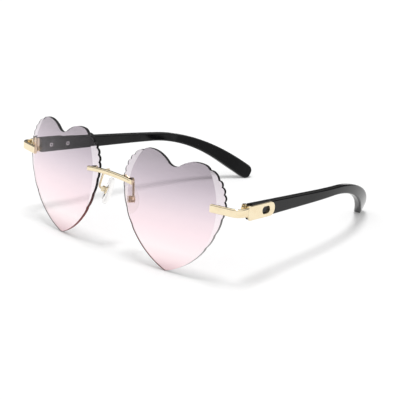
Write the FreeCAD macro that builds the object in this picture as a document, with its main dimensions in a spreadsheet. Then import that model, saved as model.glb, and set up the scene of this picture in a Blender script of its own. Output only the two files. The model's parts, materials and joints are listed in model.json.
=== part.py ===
import FreeCAD, Part
import math
import os

import Sketcher
from FreeCAD import Placement, Rotation, Vector

ACROSS = Vector(1, 0, 0)
BACK = Vector(0, 1, 0)
UP = Vector(0, 0, 1)
ORIGIN = Vector(0, 0, 0)
RIGHT_ANGLE = 90.0
FULL_TURN = 360.0
STEEPEST_TILT = 20.0
TILT_PRECISION = 1e-5
SAME_PLACE = 1e-4

doc = FreeCAD.newDocument("heart_sunglasses")

# Driving dimensions in millimetres and degrees.
SIZES = {
    # Heart outline of one lens, measured from its lower tip.
    "tip_spacing": 72.9,
    "lobe_offset": 13.5,
    "lobe_height": 36.7,
    "lobe_radius": 15.9,
    "flank_radius": 43.0,
    "notch_radius": 5.7,
    "tip_radius": 1.2,
    # Lens attitude, curve and thickness.
    "wrap_angle": 6.9,
    "lean_angle": 2.3,
    "front_curve_radius": 233.0,
    "curve_centre_height": 27.0,
    "lens_thickness": 1.6,
    "lens_forward": 0.8,
    # Scalloped edge, from the lobe down the flank.
    "scallop_depth": 0.8,
    "scallop_coarse_depth": 0.35,
    "scallop_top_angle": 68.0,
    "scallop_fine_angle": 44.5,
    "scallop_fine_step": 12.5,
    "scallop_fine_count": 5,
    "scallop_flank_gap": 4.4,
    "scallop_coarse_pitch": 8.2,
    "scallop_coarse_count": 3,
    "scallop_blend_length": 3.0,
    # Crescent bevels on the front face.
    "bevel_offset": -5.9,
    "bevel_height": 32.0,
    "bevel_radius": 31.4,
    "bevel_angle": 13.0,
    "bevel_low_angle": -60.0,
    "bevel_high_angle": 75.0,
    # Lens fastening stacks.
    "hole_inset": 4.2,
    "hole_drop": 1.5,
    "end_mount_angle": 13.2,
    "stud_radius": 0.55,
    "stud_clearance": 0.02,
    "bush_wall": 0.22,
    "hole_clearance": 0.02,
    "collar_radius": 1.25,
    "collar_thickness": 0.5,
    "seat_clearance": 0.1,
    "front_seat_depth": 0.4,
    "back_seat_depth": 0.15,
    "washer_radius": 1.25,
    "washer_thickness": 0.35,
    "nut_sides": 6,
    "nut_corner_radius": 1.25,
    "nut_height": 1.1,
    "stud_proud": 0.25,
    # Bridge bar.
    "bridge_overhang": 2.54,
    "bridge_height": 2.2,
    "bridge_thickness": 1.3,
    "bridge_rise": 0.9,
    "bridge_edge_round": 0.6,
    # End piece bar, measured from the hinge axis.
    "end_reach": 9.6,
    "end_depth": 7.2,
    "end_overhang": 2.3,
    "end_bar_height": 3.8,
    "end_bar_thickness": 1.5,
    "end_bend_radius": 4.5,
    "end_edge_round": 0.6,
    # Hinge.
    "hinge_inset": 3.4,
    "hinge_lead": 1.3,
    "joint_gap": 0.06,
    "knuckle_radius": 1.35,
    "knuckle_height": 1.2,
    "middle_knuckle_height": 2.3,
    "knuckle_gap": 0.06,
    "knuckle_sweep_gap": 0.15,
    "front_leaf_thickness": 1.2,
    "front_leaf_length": 1.9,
    "screw_radius": 0.6,
    "screw_running_gap": 0.02,
    "screw_head_radius": 1.1,
    "screw_head_height": 0.55,
    "screw_slot_width": 0.3,
    "screw_slot_depth": 0.25,
    "temple_leaf_thickness": 0.9,
    "temple_leaf_height": 4.8,
    "tongue_length": 2.4,
    "tongue_height": 3.0,
    "tongue_clearance": 0.03,
    # Temple arm, measured from the hinge axis and the middle of the end piece.
    "temple_angle": 7.5,
    "temple_thickness": 3.5,
    "temple_front": 2.6,
    "temple_front_top": 2.85,
    "temple_front_low": -4.4,
    "top_bend_along": 96.2,
    "top_bend_height": -0.05,
    "tip_top_along": 119.3,
    "tip_top_height": -17.9,
    "tip_low_along": 115.6,
    "tip_low_height": -24.0,
    "low_bend_along": 86.0,
    "low_bend_height": -2.85,
    "top_bend_radius": 81.0,
    "low_bend_radius": 61.0,
    "tip_round": 2.8,
    # Plan of the temple arm, in a plane that leans down with the tip.
    "plan_bend_along": 72.3,
    "plan_bend_angle": 30.5,
    "plan_bend_radius": 123.0,
    "plan_lean_angle": 40.0,
    "plan_tail": 45.0,
    "side_blank_width": 70.0,
    "plan_blank_height": 200.0,
    "temple_edge_round": 0.8,
    # Temple cap and its rivets.
    "cap_thickness": 1.0,
    "cap_neck_end": -0.9,
    "cap_shoulder": 0.3,
    "cap_length": 17.6,
    "cap_height": 6.4,
    "cap_middle_height": -0.75,
    "cap_end_round": 3.0,
    "window_start": 8.7,
    "window_end": 14.1,
    "window_height": 3.2,
    "window_round": 1.55,
    "cap_edge_round": 0.25,
    "rivet_front_along": 7.2,
    "rivet_back_along": 16.4,
    "rivet_radius": 0.7,
    "rivet_clearance": 0.02,
    "rivet_head_radius": 0.9,
    "rivet_head_height": 0.3,
    "rivet_dimple_radius": 0.58,
    "rivet_dimple_depth": 0.2,
    # Nose pads, placed by the middle of each pad box, measured inwards from the bridge's stud.
    "pad_box_inset": 2.86,
    "pad_box_back": 1.9,
    "pad_box_height": 26.3,
    "pad_splay_angle": 30.0,
    "pad_frontal_angle": 15.0,
    "pad_half_length": 6.4,
    "pad_half_width": 3.6,
    "pad_end_radius": 2.6,
    "pad_thickness": 2.4,
    "pad_edge_round": 1.05,
    "pad_standoff": 0.7,
    "core_half_length": 1.5,
    "core_half_width": 1.5,
    "core_thickness": 0.7,
    "core_clearance": 0.02,
    "tongue_half_width": 0.45,
    "tongue_end_radius": 0.8,
    "box_half_length": 1.1,
    "box_wall": 0.55,
    "box_front": 0.4,
    "box_floor": 0.5,
    "box_side_gap": 0.05,
    "pad_screw_radius": 0.4,
    "pad_screw_gap": 0.02,
    "pad_screw_head_radius": 0.6,
    "pad_screw_head_height": 0.4,
    "pad_slot_width": 0.2,
    "pad_slot_depth": 0.15,
    # Wire arms of the nose pads.
    "arm_radius": 0.5,
    "arm_root_inset": 6.66,
    "arm_back": 1.0,
    "arm_drop_start": 8.0,
    "arm_drop_back": 1.6,
    "arm_bend_radius": 1.1,
}

sheet = doc.addObject("Spreadsheet::Sheet", "sizes")
for row, (alias, number) in enumerate(SIZES.items(), start=1):
    sheet.set("A%d" % row, alias)
    sheet.set("B%d" % row, str(number))
    sheet.setAlias("B%d" % row, alias)
doc.recompute()


def size(alias):
    """Value of one driving dimension, read from the sheet."""
    return float(sheet.get(alias))


def cell(formula):
    """Turn plain size names in a formula into references to the sheet."""
    words = []
    for word in formula.split():
        words.append("sizes." + word if word in SIZES else word)
    return " ".join(words)


def number_of(formula):
    """Numeric value of a formula written with size names."""
    value = sheet.evalExpression(cell(formula))
    return float(getattr(value, "Value", value))


def bind(item, **formulas):
    """Bind properties of an object to formulas over the sheet."""
    for prop, formula in formulas.items():
        item.setExpression(prop, cell(formula))


def vector_of(x_formula, y_formula, z_formula):
    return Vector(number_of(x_formula), number_of(y_formula), number_of(z_formula))


def primitive(kind, name, placement=None, **formulas):
    """A Part primitive with bound sizes."""
    item = doc.addObject("Part::" + kind, name)
    bind(item, **formulas)
    if placement is not None:
        item.Placement = placement
    return item


def block(name, low, high, placement=None):
    """A box between two corners given as formulas; the corners are bound through its sizes."""
    sides = ["( %s ) - ( %s )" % (top, base) for base, top in zip(low, high)]
    item = primitive("Box", name, Length=sides[0], Width=sides[1], Height=sides[2])
    frame = placement or Placement()
    item.Placement = frame.multiply(Placement(vector_of(*low), Rotation()))
    return item


def along_way(start, direction, frame=None):
    """Placement at a start point with Z along a direction, within a frame."""
    local = Placement(start, Rotation(UP, direction))
    return (frame or Placement()).multiply(local)


def rod(name, radius, length, start, direction, frame=None):
    """A cylinder from a start point along a direction."""
    item = primitive("Cylinder", name, Radius=radius, Height=length)
    item.Placement = along_way(start, direction, frame)
    return item


def fuse(name, *items):
    item = doc.addObject("Part::MultiFuse", name)
    item.Shapes = list(items)
    item.Refine = True
    return item


def cut(name, base, tool):
    item = doc.addObject("Part::Cut", name)
    item.Base = base
    item.Tool = tool
    return item


def common(name, *items):
    item = doc.addObject("Part::MultiCommon", name)
    item.Shapes = list(items)
    return item


def mirrored(name, source):
    """The same piece on the other side of the middle plane."""
    item = doc.addObject("Part::Mirroring", name)
    item.Source = source
    item.Base = ORIGIN
    item.Normal = ACROSS
    return item


def group(name, *items):
    item = doc.addObject("Part::Compound", name)
    item.Links = list(items)
    return item


def origin_plane(body, role):
    return next(plane for plane in body.Origin.OriginFeatures if plane.Role == role)


def new_sketch(body, role, name):
    sketch = body.newObject("Sketcher::SketchObject", name)
    sketch.AttachmentSupport = [(origin_plane(body, role), "")]
    sketch.MapMode = "FlatFace"
    return sketch


def hold(sketch, curve, point, x_formula, y_formula):
    """Tie one point of a sketch to two bound coordinates."""
    formulas = (("DistanceX", x_formula, -2), ("DistanceY", y_formula, -1))
    for kind, formula, axis in formulas:
        if formula == "0":
            sketch.addConstraint(Sketcher.Constraint("PointOnObject", curve, point, axis))
            continue
        datum = Sketcher.Constraint(kind, -1, 1, curve, point, number_of(formula))
        index = sketch.addConstraint(datum)
        sketch.setExpression("Constraints[%d]" % index, cell(formula))


def outline(sketch, corners):
    """A closed polygon whose corners are bound formulas."""
    points = [vector_of(x_formula, y_formula, "0") for x_formula, y_formula in corners]
    last = len(points) - 1
    for index, point in enumerate(points):
        following = points[0] if index == last else points[index + 1]
        sketch.addGeometry(Part.LineSegment(point, following), False)
    for index in range(len(points)):
        following = 0 if index == last else index + 1
        sketch.addConstraint(Sketcher.Constraint("Coincident", index, 2, following, 1))
    for index, (x_formula, y_formula) in enumerate(corners):
        hold(sketch, index, 1, x_formula, y_formula)


def pad(body, sketch, name, length, midplane=False, backwards=False):
    item = body.newObject("PartDesign::Pad", name)
    item.Profile = sketch
    bind(item, Length=length)
    item.Midplane = midplane
    item.Reversed = backwards
    doc.recompute()
    return item


def pocket(body, sketch, name, length, midplane=True):
    item = body.newObject("PartDesign::Pocket", name)
    item.Profile = sketch
    bind(item, Length=length)
    item.Midplane = midplane
    doc.recompute()
    return item


def same(first, second):
    return abs(first - second) < SAME_PLACE


def round_edges(body, feature, name, radius, wanted):
    """Fillet the edges of a feature that a test picks out."""
    names = []
    for index, edge in enumerate(feature.Shape.Edges, start=1):
        if wanted(edge):
            names.append("Edge%d" % index)
    if not names:
        raise RuntimeError("no edges to round for " + name)
    item = body.newObject("PartDesign::Fillet", name)
    item.Base = (feature, names)
    bind(item, Radius=radius)
    doc.recompute()
    return item


def edge_at(horizontal, vertical, axis):
    """Test for a straight edge along one axis through a point of the other two."""
    others = [other for other in range(3) if other != axis]

    def wanted(edge):
        first, second = edge.firstVertex().Point, edge.lastVertex().Point
        if not same(abs(second[axis] - first[axis]), edge.Length):
            return False
        return same(first[others[0]], horizontal) and same(first[others[1]], vertical)

    return wanted


def fitting_radius(radius, before, corner, after, spare):
    """Formula of a bend radius, held to what the run after the corner has room for."""
    rise_in = "( %s ) - ( %s )" % (corner[1], before[1])
    run_in = "( %s ) - ( %s )" % (corner[0], before[0])
    rise_out = "( %s ) - ( %s )" % (after[1], corner[1])
    run_out = "( %s ) - ( %s )" % (after[0], corner[0])
    turn = "abs( atan2( %s ; %s ) - atan2( %s ; %s ) )" % (rise_out, run_out, rise_in, run_in)
    room = "( sqrt( ( %s ) ^ 2 + ( %s ) ^ 2 ) - %s )" % (run_out, rise_out, spare)
    return "min( %s ; %s / tan( %s / 2 ) )" % (radius, room, turn)


def turned(name, corners, placement):
    """A turned piece: a half profile of radius and height, revolved about Z."""
    body = doc.addObject("PartDesign::Body", name)
    sketch = new_sketch(body, "XZ_Plane", name + "_profile")
    outline(sketch, corners)
    doc.recompute()
    turn = body.newObject("PartDesign::Revolution", name + "_turn")
    turn.Profile = sketch
    turn.ReferenceAxis = (sketch, ["V_Axis"])
    turn.Angle = FULL_TURN
    body.Placement = placement
    doc.recompute()
    return body


def slotted(body, width, depth, top, reach):
    """Driver slot across the head of a turned screw."""
    sketch = new_sketch(body, "XZ_Plane", body.Name + "_slot_profile")
    half = "( %s ) / 2" % width
    base = "( %s ) - %s" % (top, depth)
    above = "( %s ) + %s" % (top, depth)
    outline(sketch, [("- " + half, base), (half, base), (half, above), ("- " + half, above)])
    doc.recompute()
    pocket(body, sketch, body.Name + "_slot", "4 * ( %s )" % reach)
    return body


def curve_centre():
    """Centre of the lens's ball-shaped front, in the lens's own frame with the tip at the origin."""
    height = size("curve_centre_height")
    return Vector(0, math.sqrt(size("front_curve_radius") ** 2 - height ** 2), height)


def on_lens(across, height):
    """Point of the front curve of a lens, in the lens's own frame."""
    centre = curve_centre()
    reach = size("front_curve_radius") ** 2 - across ** 2 - (height - centre.z) ** 2
    return Vector(across, centre.y - math.sqrt(reach), height)


def circle_meeting(first, first_radius, second, second_radius):
    """The meeting point of two circles that lies to the left of the way from first to second."""
    way = second.sub(first)
    distance = way.Length
    along = (first_radius ** 2 - second_radius ** 2 + distance ** 2) / (2 * distance)
    across = math.sqrt(first_radius ** 2 - along ** 2)
    way.normalize()
    left = Vector(-way.z, 0, way.x)
    return first + way * along + left * across


def heading(start, end):
    return math.atan2(end.z - start.z, end.x - start.x)


def around(centre, radius, angle):
    return centre + Vector(math.cos(angle), 0, math.sin(angle)) * radius


def heart_face():
    """Scalloped heart outline in the XZ plane, tip at the origin."""
    lobe = Vector(size("lobe_offset"), 0, size("lobe_height"))
    lobe_radius = size("lobe_radius")
    flank_radius = size("flank_radius")
    notch_radius = size("notch_radius")
    tip_radius = size("tip_radius")
    tip = Vector(0, 0, tip_radius)
    flank = circle_meeting(tip, flank_radius - tip_radius, lobe, flank_radius - lobe_radius)
    notch_rise = math.sqrt((lobe_radius + notch_radius) ** 2 - lobe.x ** 2)
    notch = Vector(0, 0, lobe.z + notch_rise)
    join_angle = heading(flank, lobe)
    notch_angle = heading(lobe, notch)
    tip_angle = heading(flank, tip)
    lobe_run = lobe_radius * (notch_angle - join_angle)
    flank_run = flank_radius * (join_angle - tip_angle)

    def edge_point(run, inset=0.0):
        """Point of the smooth outline at a distance below the notch, moved inwards by the inset."""
        if run < lobe_run:
            return around(lobe, lobe_radius - inset, notch_angle - run / lobe_radius)
        return around(flank, flank_radius - inset, join_angle - (run - lobe_run) / flank_radius)

    def run_at(angle):
        return lobe_radius * (notch_angle - math.radians(angle))

    fine_depth = size("scallop_depth")
    coarse_depth = size("scallop_coarse_depth")
    cusps = [(run_at(size("scallop_top_angle")), fine_depth)]
    for step in range(int(round(size("scallop_fine_count")))):
        angle = size("scallop_fine_angle") - step * size("scallop_fine_step")
        cusps.append((run_at(angle), fine_depth))
    cusps.append((cusps[-1][0] + size("scallop_flank_gap"), coarse_depth))
    for step in range(int(round(size("scallop_coarse_count"))) - 1):
        cusps.append((cusps[-1][0] + size("scallop_coarse_pitch"), coarse_depth))
    blend = size("scallop_blend_length")
    first, first_depth = cusps[0]
    last, last_depth = cusps[-1]
    first_run = first - blend
    last_run = last + blend
    end_run = lobe_run + flank_run

    arcs = [(edge_point(0), edge_point(first_run / 2), edge_point(first_run))]
    arcs.append((edge_point(first_run), edge_point(first - blend / 2, first_depth / 4),
                 edge_point(first, first_depth)))
    for (upper, upper_depth), (lower, lower_depth) in zip(cusps, cusps[1:]):
        arcs.append((edge_point(upper, upper_depth), edge_point((upper + lower) / 2),
                     edge_point(lower, lower_depth)))
    arcs.append((edge_point(last, last_depth), edge_point(last + blend / 2, last_depth / 4),
                 edge_point(last_run)))
    arcs.append((edge_point(last_run), edge_point((last_run + end_run) / 2), edge_point(end_run)))

    def flipped(point):
        return Vector(-point.x, point.y, point.z)

    loop = list(arcs)
    loop.append((edge_point(end_run), Vector(0, 0, 0), flipped(edge_point(end_run))))
    for start, middle, end in reversed(arcs):
        loop.append((flipped(end), flipped(middle), flipped(start)))
    notch_floor = notch - Vector(0, 0, notch_radius)
    loop.append((flipped(edge_point(0)), notch_floor, edge_point(0)))
    return Part.Face(Part.Wire([Part.Arc(*points).toShape() for points in loop]))


# Frame of the left lens: wrapped about the vertical and leaning in its own plane.
lens_frame = Placement(Vector(size("tip_spacing") / 2, -size("lens_forward"), 0),
                       Rotation(UP, size("wrap_angle")).multiply(
                           Rotation(BACK, size("lean_angle"))))

# Seats of the two studs of the left lens: a point on the lens and the way the stud points.
outer_way = Rotation(UP, size("end_mount_angle")).multVec(BACK)
inner_way = BACK
hole_offset = number_of("lobe_offset + lobe_radius - hole_inset")
hole_height = number_of("lobe_height - hole_drop")
outer_skin = lens_frame.multVec(on_lens(hole_offset, hole_height))
inner_skin = lens_frame.multVec(on_lens(-hole_offset, hole_height))
outer_seat = outer_skin + outer_way * size("front_seat_depth")
inner_seat = inner_skin + inner_way * size("front_seat_depth")
SEATS = (("outer", outer_seat, outer_way), ("inner", inner_seat, inner_way))
SEAT_LENS = "lens_thickness - front_seat_depth - back_seat_depth"
SLEEVE_BORE = "stud_radius + stud_clearance"
SLEEVE_RADIUS = "stud_radius + stud_clearance + bush_wall"


def build_lens():
    """Heart slab cut to a curved shell, bevelled on both sides and drilled."""
    face = doc.addObject("Part::Feature", "lens_outline")
    face.Shape = heart_face()
    slab = doc.addObject("Part::Extrusion", "lens_slab")
    slab.Base = face
    slab.DirMode = "Custom"
    slab.Dir = BACK
    slab.Solid = True
    slab.Symmetric = True
    bind(slab, LengthFwd="2 * lobe_radius")
    ball_frame = Placement(curve_centre(), Rotation())
    front_ball = primitive("Sphere", "lens_front_ball", ball_frame, Radius="front_curve_radius")
    back_ball = primitive("Sphere", "lens_back_ball", ball_frame,
                          Radius="front_curve_radius - lens_thickness")
    blank = common("lens_blank", slab, cut("lens_shell", front_ball, back_ball))

    # Each bevel is the part of a ring sector that lies outside a shallow cone.
    crown = on_lens(size("bevel_offset"), size("bevel_height"))
    outwards = crown.sub(curve_centre())
    outwards.normalize()
    ball_radius = size("front_curve_radius")
    sag = ball_radius - math.sqrt(ball_radius ** 2 - size("bevel_radius") ** 2)
    spread = "bevel_radius + 2 * lens_thickness / tan( bevel_angle * 1 deg )"
    narrow = "bevel_radius - lens_thickness / tan( bevel_angle * 1 deg )"
    base = crown - outwards * (sag + 2 * size("lens_thickness"))
    sideways = ACROSS - outwards * outwards.x
    upright = Rotation(sideways, outwards.cross(sideways), outwards, "ZXY")
    tool_frame = Placement(base, upright)
    turned_frame = Placement(base, upright.multiply(Rotation(UP, size("bevel_low_angle"))))
    sector = primitive("Cylinder", "bevel_sector", turned_frame, Radius="bevel_radius * 2",
                       Height="3 * lens_thickness", Angle="bevel_high_angle - bevel_low_angle")
    cone = primitive("Cone", "bevel_cone", tool_frame, Radius1=spread, Radius2=narrow,
                     Height="3 * lens_thickness")
    outer_bevel = cut("outer_bevel", sector, cone)
    inner_bevel = mirrored("inner_bevel", outer_bevel)
    bevelled = cut("lens_bevelled", blank, fuse("lens_bevels", outer_bevel, inner_bevel))
    bevelled.Placement = lens_frame

    tools = []
    for name, seat, way in SEATS:
        back = seat + way * number_of(SEAT_LENS)
        reach = "lens_thickness * 2"
        tools.append(rod(name + "_hole", SLEEVE_RADIUS + " + hole_clearance", reach,
                         seat - way * size("front_seat_depth"), way))
        tools.append(rod(name + "_front_seat", "collar_radius + seat_clearance", reach, seat, -way))
        tools.append(rod(name + "_back_seat", "washer_radius + seat_clearance", reach, back, way))
    return cut("left_lens", bevelled, fuse("lens_drilling", *tools))


def build_fastenings():
    """Bushes, washers and nuts on the four studs."""
    bushes, washers, nuts = [], [], []
    sleeve_end = "collar_thickness + " + SEAT_LENS
    bush_corners = [(SLEEVE_BORE, "0"), ("collar_radius", "0"),
                    ("collar_radius", "collar_thickness"), (SLEEVE_RADIUS, "collar_thickness"),
                    (SLEEVE_RADIUS, sleeve_end), (SLEEVE_BORE, sleeve_end)]
    washer_corners = [(SLEEVE_BORE, "0"), ("washer_radius", "0"),
                      ("washer_radius", "washer_thickness"), (SLEEVE_BORE, "washer_thickness")]
    for name, seat, way in SEATS:
        back = seat + way * number_of(SEAT_LENS)
        front = seat - way * size("collar_thickness")
        bushes.append(turned(name + "_bush", bush_corners, along_way(front, way)))
        washers.append(turned(name + "_washer", washer_corners, along_way(back, way)))
        nut_start = back + way * size("washer_thickness")
        prism = primitive("Prism", name + "_nut_blank", along_way(nut_start, way),
                          Polygon="nut_sides", Circumradius="nut_corner_radius",
                          Height="nut_height")
        bore = rod(name + "_nut_bore", SLEEVE_BORE, "nut_height", nut_start, way)
        nuts.append(cut(name + "_nut", prism, bore))
    pieces = []
    for label, near in (("lens_bushes", bushes), ("lens_washers", washers), ("lens_nuts", nuts)):
        far = [mirrored("right_" + item.Name, item) for item in near]
        pieces.append(group(label, *(near + far)))
    return pieces


STUD_LENGTH = ("collar_thickness + " + SEAT_LENS
               + " + washer_thickness + nut_height + stud_proud")
bridge_back = inner_seat.y - size("collar_thickness")
BRIDGE_HALF = "( %f + bridge_overhang )" % inner_seat.x
ARCH_RADIUS = "( %s ^ 2 + bridge_rise ^ 2 ) / ( 2 * bridge_rise )" % BRIDGE_HALF


def arch_height(across):
    """Height of the bridge's middle line above its ends."""
    radius = number_of(ARCH_RADIUS)
    ends = math.sqrt(radius ** 2 - number_of(BRIDGE_HALF) ** 2)
    return math.sqrt(radius ** 2 - across ** 2) - ends


bridge_ends_height = inner_seat.z - arch_height(inner_seat.x)


def build_bridge():
    """Arched bar in front of the lenses with a stud behind each end."""
    body = doc.addObject("PartDesign::Body", "bridge_bar")
    sketch = new_sketch(body, "XZ_Plane", "bridge_profile")
    half = number_of(BRIDGE_HALF)
    half_height = size("bridge_height") / 2
    radius = number_of(ARCH_RADIUS)
    for level in (half_height, -half_height):
        centre = Vector(0, level + size("bridge_rise") - radius, 0)
        end_angle = math.atan2(level - centre.y, half)
        circle = Part.Circle(centre, UP, radius)
        sketch.addGeometry(Part.ArcOfCircle(circle, end_angle, math.pi - end_angle), False)
    for side in (half, -half):
        sketch.addGeometry(Part.LineSegment(Vector(side, -half_height, 0),
                                            Vector(side, half_height, 0)), False)
    top_arc, low_arc, left_end, right_end = range(sketch.GeometryCount)
    start, finish = 1, 2
    for line, arc_point, sign in ((left_end, start, ""), (right_end, finish, "- ")):
        for arc, line_point in ((low_arc, start), (top_arc, finish)):
            meeting = Sketcher.Constraint("Coincident", arc, arc_point, line, line_point)
            sketch.addConstraint(meeting)
        hold(sketch, line, start, sign + BRIDGE_HALF, "- bridge_height / 2")
        hold(sketch, line, finish, sign + BRIDGE_HALF, "bridge_height / 2")
    for arc in (top_arc, low_arc):
        index = sketch.addConstraint(Sketcher.Constraint("Radius", arc, radius))
        sketch.setExpression("Constraints[%d]" % index, cell(ARCH_RADIUS))
    doc.recompute()
    bar = pad(body, sketch, "bridge_pad", "bridge_thickness")
    front = -size("bridge_thickness")
    round_edges(body, bar, "bridge_rounding", "bridge_edge_round",
                lambda edge: all(same(corner.Y, front) for corner in edge.Vertexes))
    body.Placement = Placement(Vector(0, bridge_back, bridge_ends_height), Rotation())
    root = Vector(inner_seat.x, bridge_back, inner_seat.z)
    stud = rod("left_bridge_stud", "stud_radius", STUD_LENGTH, root, inner_way)
    return fuse("bridge", body, stud, mirrored("right_bridge_stud", stud))


# Frame of the left hinge: on the hinge axis at the middle of the end piece, along the temple.
temple_turn = Rotation(UP, size("temple_angle"))
hinge_point = outer_seat + temple_turn.multVec(Vector(size("end_reach"), size("end_depth"), 0))
hinge_frame = Placement(hinge_point, temple_turn)
TAB_ANGLE = "( end_mount_angle - temple_angle ) * 1 deg"


def build_end_piece():
    """Bar from the lens front, bent back to the hinge, with one stud."""
    tab_cos = "cos( %s )" % TAB_ANGLE
    tab_sin = "sin( %s )" % TAB_ANGLE
    tab_tan = "tan( %s )" % TAB_ANGLE
    front = "( collar_thickness + end_bar_thickness )"
    inner = "( hinge_inset - end_bar_thickness )"
    end = "- hinge_lead - joint_gap"

    def tab_corner(offset):
        return ("- end_reach - end_overhang * %s + %s * %s" % (tab_cos, offset, tab_sin),
                "- end_depth - end_overhang * %s - %s * %s" % (tab_sin, offset, tab_cos))

    def bend_corner(across, offset):
        return (across, "- end_depth - %s / %s + ( %s + end_reach ) * %s"
                % (offset, tab_cos, across, tab_tan))

    outer_bend = bend_corner("hinge_inset", front)
    inner_bend = bend_corner(inner, "collar_thickness")
    body = doc.addObject("PartDesign::Body", "end_bar")
    sketch = new_sketch(body, "XY_Plane", "end_bar_profile")
    outline(sketch, [tab_corner(front), outer_bend, ("hinge_inset", end), (inner, end),
                     inner_bend, tab_corner("collar_thickness")])
    doc.recompute()
    bar = pad(body, sketch, "end_bar_pad", "end_bar_height", midplane=True)
    x_outer, y_outer = (number_of(formula) for formula in outer_bend)
    x_inner, y_inner = (number_of(formula) for formula in inner_bend)
    bent = round_edges(body, bar, "end_bar_outer_bend", "end_bend_radius",
                       edge_at(x_outer, y_outer, 2))
    bent = round_edges(body, bent, "end_bar_inner_bend", "end_bend_radius - end_bar_thickness",
                       edge_at(x_inner, y_inner, 2))
    level = size("end_bar_height") / 2
    joint = number_of(end)

    def rim(edge):
        at_rim = all(same(abs(corner.Z), level) for corner in edge.Vertexes)
        at_joint = all(same(corner.Y, joint) for corner in edge.Vertexes)
        flat = same(edge.Vertexes[0].Z, edge.Vertexes[-1].Z)
        return at_rim and flat and not at_joint

    round_edges(body, bent, "end_bar_rounding", "end_edge_round", rim)
    body.Placement = hinge_frame
    start = outer_seat - outer_way * size("collar_thickness")
    stud = rod("end_stud", "stud_radius", STUD_LENGTH, start, outer_way)
    return fuse("left_end_piece", body, stud)


HALF_BARREL = "( middle_knuckle_height / 2 + knuckle_gap + knuckle_height )"
MIDDLE_TOP = "( middle_knuckle_height / 2 )"
OUTER_LOW = "( middle_knuckle_height / 2 + knuckle_gap )"
BORE = "screw_radius + screw_running_gap"


def build_front_hinge():
    """Leaf inside the end piece with an upper and a lower knuckle."""
    outer = "hinge_inset - end_bar_thickness"
    inner = outer + " - front_leaf_thickness"
    clear = "- knuckle_radius - knuckle_sweep_gap"
    plate = block("front_leaf", (inner, clear + " - front_leaf_length", "- " + HALF_BARREL),
                  (outer, clear, HALF_BARREL), hinge_frame)
    pieces = [plate]
    web_outer = "knuckle_radius - joint_gap"
    spans = (("upper", OUTER_LOW, HALF_BARREL), ("lower", "- " + HALF_BARREL, "- " + OUTER_LOW))
    for name, low, high in spans:
        pieces.append(rod(name + "_knuckle", "knuckle_radius", "knuckle_height",
                          Vector(0, 0, number_of(low)), UP, hinge_frame))
        pieces.append(block(name + "_web", (inner, clear + " - front_leaf_length", low),
                            (web_outer, "0", high), hinge_frame))
    bore = rod("front_hinge_bore", BORE, "2 * " + HALF_BARREL,
               Vector(0, 0, -number_of(HALF_BARREL)), UP, hinge_frame)
    return cut("left_front_hinge", fuse("front_hinge_blank", *pieces), bore)


def build_temple_hinge():
    """Leaf under the temple cap with the middle knuckle and a tongue set in the arm."""
    outer = "hinge_inset - cap_thickness"
    inner = outer + " - temple_leaf_thickness"
    half = "temple_leaf_height / 2"
    plate = block("temple_leaf", (inner, "- hinge_lead", "- " + half),
                  (outer, "temple_front", half), hinge_frame)
    tongue = block("temple_tongue", (inner, "temple_front", "- tongue_height / 2"),
                   (outer, "temple_front + tongue_length", "tongue_height / 2"), hinge_frame)
    knuckle = rod("middle_knuckle", "knuckle_radius", "middle_knuckle_height",
                  Vector(0, 0, -number_of(MIDDLE_TOP)), UP, hinge_frame)
    web = block("middle_web", ("0", "0", "- " + MIDDLE_TOP),
                (inner, "knuckle_radius", MIDDLE_TOP), hinge_frame)
    bore = rod("temple_hinge_bore", BORE, "middle_knuckle_height",
               Vector(0, 0, -number_of(MIDDLE_TOP)), UP, hinge_frame)
    blank = fuse("temple_hinge_blank", plate, tongue, knuckle, web)
    return cut("left_temple_hinge", blank, bore)


def build_hinge_screw():
    """Slotted screw through the three knuckles."""
    top = "2 * " + HALF_BARREL
    crown = top + " + screw_head_height"
    corners = [("0", "0"), ("screw_radius", "0"), ("screw_radius", top),
               ("screw_head_radius", top), ("screw_head_radius", crown), ("0", crown)]
    place = along_way(Vector(0, 0, -number_of(HALF_BARREL)), UP, hinge_frame)
    screw = turned("hinge_screw", corners, place)
    return slotted(screw, "screw_slot_width", "screw_slot_depth", crown, "screw_head_radius")


ARM_OUTER = "( hinge_inset - cap_thickness )"
ARM_INNER = "( hinge_inset - cap_thickness - temple_thickness )"


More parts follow.
